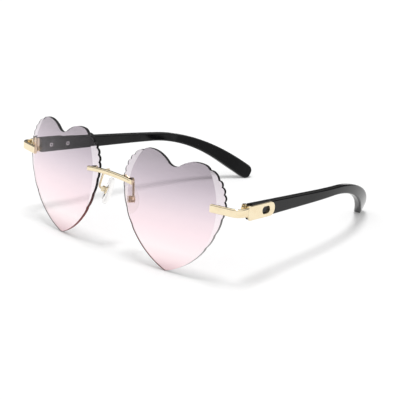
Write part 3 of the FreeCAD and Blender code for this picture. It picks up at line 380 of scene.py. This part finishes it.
def lens_material(side, centre):
    """Clear plastic with a tint on both faces and none on the bevels."""
    look = settings().lens
    material, tree, shader = new_material(side + "_lens_tint")
    spot = own_place(tree)
    handle(tree, shader, spot, LENS_MARKS, look.polish, look.smudged)
    outward = vectors(tree, "NORMALIZE", vectors(tree, "SUBTRACT", spot, centre))
    shape = add(tree, "ShaderNodeNewGeometry")
    facing = add(tree, "ShaderNodeVectorTransform", {"Vector": shape.outputs["True Normal"]},
                 vector_type="NORMAL", convert_from="WORLD", convert_to="OBJECT").outputs[0]
    along = maths(tree, "ABSOLUTE", vectors(tree, "DOT_PRODUCT", facing, outward))
    bevel = maths(tree, "MULTIPLY", maths(tree, "GREATER_THAN", along, BEVEL_LEAST),
                  maths(tree, "LESS_THAN", along, BEVEL_MOST))

    height = add(tree, "ShaderNodeSeparateXYZ", {"Vector": spot}).outputs["Z"]
    ramp = add(tree, "ShaderNodeValToRGB", {"Fac": span(tree, height, 0.0, look.top_level)})
    elements = ramp.color_ramp.elements
    elements.remove(elements[0])
    elements[0].color = opaque(look.top_tint)
    for stop in TINT_STOPS[:-1]:
        rise = getattr(look, stop + "_level") / look.top_level
        elements.new(rise).color = opaque(getattr(look, stop + "_tint"))
    tint = blend(tree, bevel, ramp.outputs["Color"], opaque(look.bevel_tint))
    tree.links.new(tint, shader.inputs["Base Color"])
    shader.inputs["Transmission Weight"].default_value = 1.0
    shader.inputs["IOR"].default_value = look.bend_index
    shader.inputs["Specular Tint"].default_value = opaque([look.gloss] * 3)
    return material


def lens_edge_material():
    """Ground edge of the lenses with painted light and shade: painted shade, black, above, and
    painted light near the tip, dark red to the nose and pale grey away from it.
    """
    look = settings().lens
    material, tree, shader = new_material("lens_edge_painted_light")
    spot = own_place(tree)
    handle(tree, shader, spot, FINE_MARKS, look.edge_frost, look.edge_worn)
    axes = add(tree, "ShaderNodeSeparateXYZ", {"Vector": spot}).outputs
    # Painted light near the tip, dark red towards the nose and pale grey away from it, turning into
    # black painted shade higher up.
    reach = look.tip_blend / 2
    away = span(tree, maths(tree, "ABSOLUTE", axes["X"]), look.tip_offset - reach,
                look.tip_offset + reach)
    level = maths(tree, "SUBTRACT", axes["Z"], maths(tree, "MULTIPLY", away, look.edge_rise))
    # The darkening towards the top is painted shade.
    dark = span(tree, level, look.edge_low, look.edge_high)
    tint = blend(tree, away, opaque(look.nose_edge_painted_light), opaque(look.edge_tip_painted_light))
    tint = blend(tree, dark, tint, opaque(look.edge_top_painted_shade))
    tree.links.new(tint, shader.inputs["Base Color"])
    shader.inputs["Specular IOR Level"].default_value = look.edge_gloss
    return material


def metal_material(name, clean, handled):
    """Plated metal with faint smudges, warmer patches and hairlines."""
    look = settings().metal
    material, tree, shader = new_material(name)
    worn = handle(tree, shader, own_place(tree), PLATE_MARKS, clean, handled)
    warmth = maths(tree, "MULTIPLY", worn["Grain"],
                   span(tree, worn["Smudge"], 0.0, 1.0, LEAST_WARMTH, 1.0))
    tint = blend(tree, warmth, opaque(look.gold), opaque(look.warm_gold))
    tree.links.new(tint, shader.inputs["Base Color"])
    shader.inputs["Metallic"].default_value = 1.0
    return material


def rivet_lines(node):
    """The middle and the direction of each of a temple's two rivets."""
    spots = {tuple(round(part, CORNER_DIGITS) for part in vert.co)
             for vert in NODES[node].data.vertices}
    points = sorted((Vector(spot) for spot in spots), key=lambda point: point.y)
    steps = [after.y - before.y for before, after in zip(points, points[1:])]
    cut = steps.index(max(steps)) + 1
    lines = []
    for group in (points[:cut], points[cut:]):
        middle = sum(group, Vector()) / len(group)
        spread = Matrix.Diagonal((0.0, 0.0, 0.0))
        for point in group:
            offset = point - middle
            spread += Matrix([offset * part for part in offset])
        # Each round turns the direction further towards the way in which the points lie.
        way = Vector((1.0, 0.0, 0.0))
        for _ in range(DIRECTION_ROUNDS):
            way = (spread @ way).normalized()
        lines.append((middle, way))
    return lines


def rivet_material(side):
    """Bright steel rims round the hollows of a temple's rivets, with near-black shade painted in
    the hollows.
    """
    look = settings().metal
    material, tree, shader = new_material(side + "_rivet_steel_painted_shade")
    spot = own_place(tree)
    handle(tree, shader, spot, FINE_MARKS, look.polish, look.smudged)
    reaches = []
    for point, way in rivet_lines(side + "_temple_rivets"):
        offset = vectors(tree, "SUBTRACT", spot, point)
        reaches.append(vectors(tree, "LENGTH", vectors(tree, "CROSS_PRODUCT", offset, way)))
    # Inside the hollow radius the rivet is painted with shade instead of steel.
    rim = maths(tree, "GREATER_THAN", maths(tree, "MINIMUM", *reaches), look.hollow_radius)
    tint = blend(tree, rim, opaque(look.hollow), opaque(look.steel))
    tree.links.new(tint, shader.inputs["Base Color"])
    shader.inputs["Metallic"].default_value = 1.0
    return material


def temple_material():
    """Black acetate, hand polished, with faint streaks and finger marks."""
    look = settings().temple
    material, tree, shader = new_material("temple_black")
    worn = handle(tree, shader, own_place(tree), TEMPLE_MARKS, look.polish, look.smudged)
    streak = span(tree, worn["Grain"], *STREAK_RANGE)
    tint = blend(tree, streak, opaque(look.black), opaque(look.grey))
    tree.links.new(tint, shader.inputs["Base Color"])
    shader.inputs["IOR"].default_value = look.bend_index
    return material


def clear_material(name, look):
    """Clear moulded plastic or silicone with a soft uneven skin."""
    material, tree, shader = new_material(name)
    worn = handle(tree, shader, own_place(tree), CLEAR_MARKS, look.polish, look.smudged)
    deep = [DEEPER_TINT * channel for channel in look.tint]
    tint = blend(tree, worn["Grain"], opaque(look.tint), opaque(deep))
    tree.links.new(tint, shader.inputs["Base Color"])
    shader.inputs["Transmission Weight"].default_value = 1.0
    shader.inputs["IOR"].default_value = look.bend_index
    return material


def wear(node, material):
    """Give a CAD node its material."""
    NODES[node].data.materials.clear()
    NODES[node].data.materials.append(material)


def grind_edge(node, centre, material):
    """Give the edge faces of a lens their own material, which holds their painted light and shade.
    """
    data = NODES[node].data
    data.materials.append(material)
    for face in data.polygons:
        outward = (face.center - centre).normalized()
        if abs(face.normal.dot(outward)) < EDGE_MOST:
            face.material_index = len(data.materials) - 1


class SUNGLASSES_OT_lenses(Operator):
    """Tint the two heart lenses and paint light and shade on their ground edges"""

    bl_idname = "sunglasses.lenses"
    bl_label = "Tint Lenses"

    def execute(self, context):
        # The edge material paints light and shade on the ground edges.
        edge = lens_edge_material()
        for side, sign in SIDES.items():
            centre = Vector(settings().lens.curve_centre)
            centre.x *= sign
            wear(side + "_lens", lens_material(side, centre))
            grind_edge(side + "_lens", centre, edge)
        return {"FINISHED"}


class SUNGLASSES_OT_metalwork(Operator):
    """Plate the bridge, end pieces, hinges, caps, nose fittings and screws, and face the rivets
    with painted shade in their hollows
    """

    bl_idname = "sunglasses.metalwork"
    bl_label = "Plate Metalwork"

    def execute(self, context):
        look = settings().metal
        gold = metal_material("gold_plate", look.polish, look.smudged)
        satin = metal_material("satin_gold", look.satin, look.satin_smudged)
        for node in ("bridge", "lens_nuts", "hinge_screws"):
            wear(node, gold)
        wear("pad_screws", satin)
        for side in SIDES:
            for part in ("end_piece", "front_hinge", "temple_hinge", "temple_cap"):
                wear(side + "_" + part, gold)
            for part in ("pad_arm", "pad_box", "pad_core"):
                wear(side + "_" + part, satin)
            wear(side + "_temple_rivets", rivet_material(side))
        return {"FINISHED"}


class SUNGLASSES_OT_temples(Operator):
    """Polish the two black temples"""

    bl_idname = "sunglasses.temples"
    bl_label = "Polish Temples"

    def execute(self, context):
        black = temple_material()
        for side in SIDES:
            wear(side + "_temple_arm", black)
        return {"FINISHED"}


class SUNGLASSES_OT_clear_fittings(Operator):
    """Make the lens bushes and washers clear"""

    bl_idname = "sunglasses.clear_fittings"
    bl_label = "Clear Fittings"

    def execute(self, context):
        clear = clear_material("clear_fitting", settings().fitting)
        for node in ("lens_bushes", "lens_washers"):
            wear(node, clear)
        return {"FINISHED"}


def pad_matrix(side, sign):
    """Frame of a nose pad: X along its screw, Y towards the nose, Z along the pad."""
    look = settings().pad
    rock = JOINTS[side + "_pad_rock"]
    screw = Vector(rock["axis"])
    upright = Vector(JOINTS["left_fold"]["axis"])
    across = upright.cross(screw) * sign
    towards = across * math.cos(look.lean) - upright * math.sin(look.lean)
    along = across * math.sin(look.lean) + upright * math.cos(look.lean)
    matrix = Matrix((screw, towards, along)).transposed().to_4x4()
    matrix.translation = Vector(rock["pos_m"]) + screw * look.fork_half_width
    return matrix


def push(mesh, faces, depth):
    """Extrude faces along the pad's Y axis."""
    moved = bmesh.ops.extrude_face_region(mesh, geom=faces)
    verts = [item for item in moved["geom"] if isinstance(item, bmesh.types.BMVert)]
    bmesh.ops.translate(mesh, vec=(0.0, depth, 0.0), verts=verts)


def pad_caps(mesh, look):
    """The flat faces of a pad, its back first."""
    caps = [face for face in mesh.faces if len(face.verts) == look.corners]
    return sorted(caps, key=lambda face: face.calc_center_median().y)


def pad_cushion(look):
    """A rounded cushion, narrower above, with its back at the standoff from the screw."""
    mesh = bmesh.new()
    bmesh.ops.create_circle(mesh, cap_ends=True, segments=look.corners, radius=1.0)
    turn = Matrix.Rotation(math.radians(90.0), 4, "X")
    size = Matrix.Diagonal((look.half_width, 1.0, look.half_length, 1.0))
    bmesh.ops.transform(mesh, matrix=size @ turn, verts=mesh.verts)
    for vert in mesh.verts:
        vert.co.x *= 1.0 - look.taper * max(vert.co.z, 0.0) / look.half_length
        vert.co.y = look.standoff
    push(mesh, list(mesh.faces), look.thickness)
    rims = [edge for face in pad_caps(mesh, look) for edge in face.edges]
    bmesh.ops.bevel(mesh, geom=rims, offset=look.thickness * look.rounding,
                    segments=look.round_steps, profile=0.5, affect="EDGES", material=-1)
    return mesh


def sink_pocket(mesh, look):
    """The pocket in a pad's back that takes its core."""
    hollow = pad_caps(mesh, look)[0]
    bmesh.ops.inset_region(mesh, faces=[hollow], thickness=look.half_width * look.lip)
    middle = hollow.calc_center_median()
    for vert in hollow.verts:
        way = vert.co - middle
        reach = max(abs(way.x) / look.core_half_width, abs(way.z) / look.core_half_length)
        vert.co = middle + way / reach
    push(mesh, [hollow], look.core_depth)
    bmesh.ops.delete(mesh, geom=[hollow], context="FACES_ONLY")


def finished(name, mesh, material, body):
    """A new piece from a bmesh, riding on its body."""
    bmesh.ops.recalc_face_normals(mesh, faces=mesh.faces)
    data = bpy.data.meshes.new(name)
    mesh.to_mesh(data)
    mesh.free()
    data.materials.append(material)
    piece = bpy.data.objects.new(name, data)
    bpy.context.scene.collection.objects.link(piece)
    for face in data.polygons:
        face.use_smooth = True
    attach(piece, body)
    return piece


class SUNGLASSES_OT_nose_pads(Operator):
    """Mould the two soft nose pads round their cores"""

    bl_idname = "sunglasses.nose_pads"
    bl_label = "Mould Nose Pads"

    def execute(self, context):
        look = settings().pad
        silicone = clear_material("clear_silicone", look)
        for side, sign in SIDES.items():
            mesh = pad_cushion(look)
            sink_pocket(mesh, look)
            bmesh.ops.transform(mesh, matrix=pad_matrix(side, sign), verts=mesh.verts)
            pad = finished(side + "_soft_pad", mesh, silicone, side + "_pad")
            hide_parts(side + "_nose_pad")
        return {"FINISHED"}


class SUNGLASSES_OT_stage(Operator):
    """Set the camera, the floor and the light"""

    bl_idname = "sunglasses.stage"
    bl_label = "Set Stage"

    def execute(self, context):
        look = settings().stage
        scene = context.scene
        scene.view_settings.view_transform = "Standard"
        self.set_camera(scene, look)
        self.lay_floor(scene, look)
        self.hang_lamp(scene, look)
        self.light_studio(scene, look)
        return {"FINISHED"}

    def set_camera(self, scene, look):
        back = Vector((math.sin(look.azimuth) * math.cos(look.elevation),
                       -math.cos(look.azimuth) * math.cos(look.elevation),
                       math.sin(look.elevation)))
        lens = bpy.data.cameras.new("camera")
        lens.lens = look.focal
        lens.sensor_width = SENSOR_WIDTH
        camera = bpy.data.objects.new("camera", lens)
        camera.location = Vector(look.target) + back * look.distance
        camera.rotation_euler = back.to_track_quat("Z", "Y").to_euler()
        scene.collection.objects.link(camera)
        scene.camera = camera

    def seen(self, tree, path):
        """One for rays from the camera, from metal and from glass."""
        seen = maths(tree, "MAXIMUM", path["Is Camera Ray"], path["Is Glossy Ray"])
        return maths(tree, "MAXIMUM", seen, path["Is Transmission Ray"])

    def lay_floor(self, scene, look):
        mesh = bmesh.new()
        bmesh.ops.create_grid(mesh, x_segments=1, y_segments=1, size=look.floor_size)
        data = bpy.data.meshes.new("floor")
        mesh.to_mesh(data)
        mesh.free()
        floor = bpy.data.objects.new("floor", data)
        material, tree, shader = new_material("floor_paper")
        tree.nodes.remove(shader)
        matt = add(tree, "ShaderNodeBsdfDiffuse", {"Color": opaque(look.floor_colour)})
        seen = self.seen(tree, add(tree, "ShaderNodeLightPath").outputs)
        lift = add(tree, "ShaderNodeEmission",
                   {"Strength": maths(tree, "MULTIPLY", seen, look.floor_lift)})
        both = add(tree, "ShaderNodeAddShader", {0: matt.outputs[0], 1: lift.outputs[0]})
        tree.links.new(both.outputs[0], tree.nodes["Material Output"].inputs["Surface"])
        data.materials.append(material)
        scene.collection.objects.link(floor)

    def hang_lamp(self, scene, look):
        lamp = bpy.data.lights.new("overhead", "SUN")
        lamp.energy = look.sun
        lamp.angle = look.sun_spread
        holder = bpy.data.objects.new("overhead", lamp)
        holder.rotation_euler = (look.sun_lean, 0.0, 0.0)
        scene.collection.objects.link(holder)

    def light_studio(self, scene, look):
        """White as it is seen, with darker walls in reflections and softer light on the part."""
        world = bpy.data.worlds.new("studio")
        world.use_nodes = True
        tree = world.node_tree
        path = add(tree, "ShaderNodeLightPath").outputs
        seen = self.seen(tree, path)
        coords = add(tree, "ShaderNodeTexCoord")
        way = add(tree, "ShaderNodeSeparateXYZ", {"Vector": coords.outputs["Generated"]}).outputs
        wall = span(tree, way["X"], look.side_start, look.side_end, look.screen, look.side_screen)
        screen = span(tree, way["Z"], look.screen_low, look.screen_high, wall, 1.0)
        mirrored = maths(tree, "MULTIPLY", path["Is Glossy Ray"],
                         maths(tree, "SUBTRACT", 1.0, screen))
        bright = maths(tree, "SUBTRACT", seen, mirrored)
        hidden = maths(tree, "MULTIPLY", maths(tree, "SUBTRACT", 1.0, seen), look.sky)
        background = tree.nodes["Background"].inputs
        tree.links.new(maths(tree, "ADD", bright, hidden), background["Strength"])
        background["Color"].default_value = WHITE
        scene.world = world


STEPS = (SUNGLASSES_OT_lenses, SUNGLASSES_OT_metalwork, SUNGLASSES_OT_temples,
         SUNGLASSES_OT_clear_fittings, SUNGLASSES_OT_nose_pads, SUNGLASSES_OT_stage)


class SUNGLASSES_PT_panel(Panel):
    """Settings of the sunglasses and the steps that finish them"""

    bl_label = "Heart Sunglasses"
    bl_space_type = "VIEW_3D"
    bl_region_type = "UI"
    bl_category = "Sunglasses"

    def draw(self, context):
        for step in STEPS:
            self.layout.operator(step.bl_idname)
        for name in SunglassesSettings.__annotations__:
            group = getattr(settings(), name)
            box = self.layout.box()
            box.label(text=name.capitalize())
            for entry in type(group).__annotations__:
                box.prop(group, entry)


CLASSES = (LensSettings, MetalSettings, TempleSettings, FittingSettings, PadSettings,
           StageSettings, SunglassesSettings, *STEPS, SUNGLASSES_PT_panel)


def register():
    for entry in CLASSES:
        bpy.utils.register_class(entry)
    bpy.types.Scene.heart_sunglasses = PointerProperty(type=SunglassesSettings)


def unregister():
    del bpy.types.Scene.heart_sunglasses
    for entry in reversed(CLASSES):
        bpy.utils.unregister_class(entry)


def main():
    register()
    bpy.ops.sunglasses.lenses()
    bpy.ops.sunglasses.metalwork()
    bpy.ops.sunglasses.temples()
    bpy.ops.sunglasses.clear_fittings()
    bpy.ops.sunglasses.nose_pads()
    bpy.ops.sunglasses.stage()


if __name__ == "__main__":
    main()
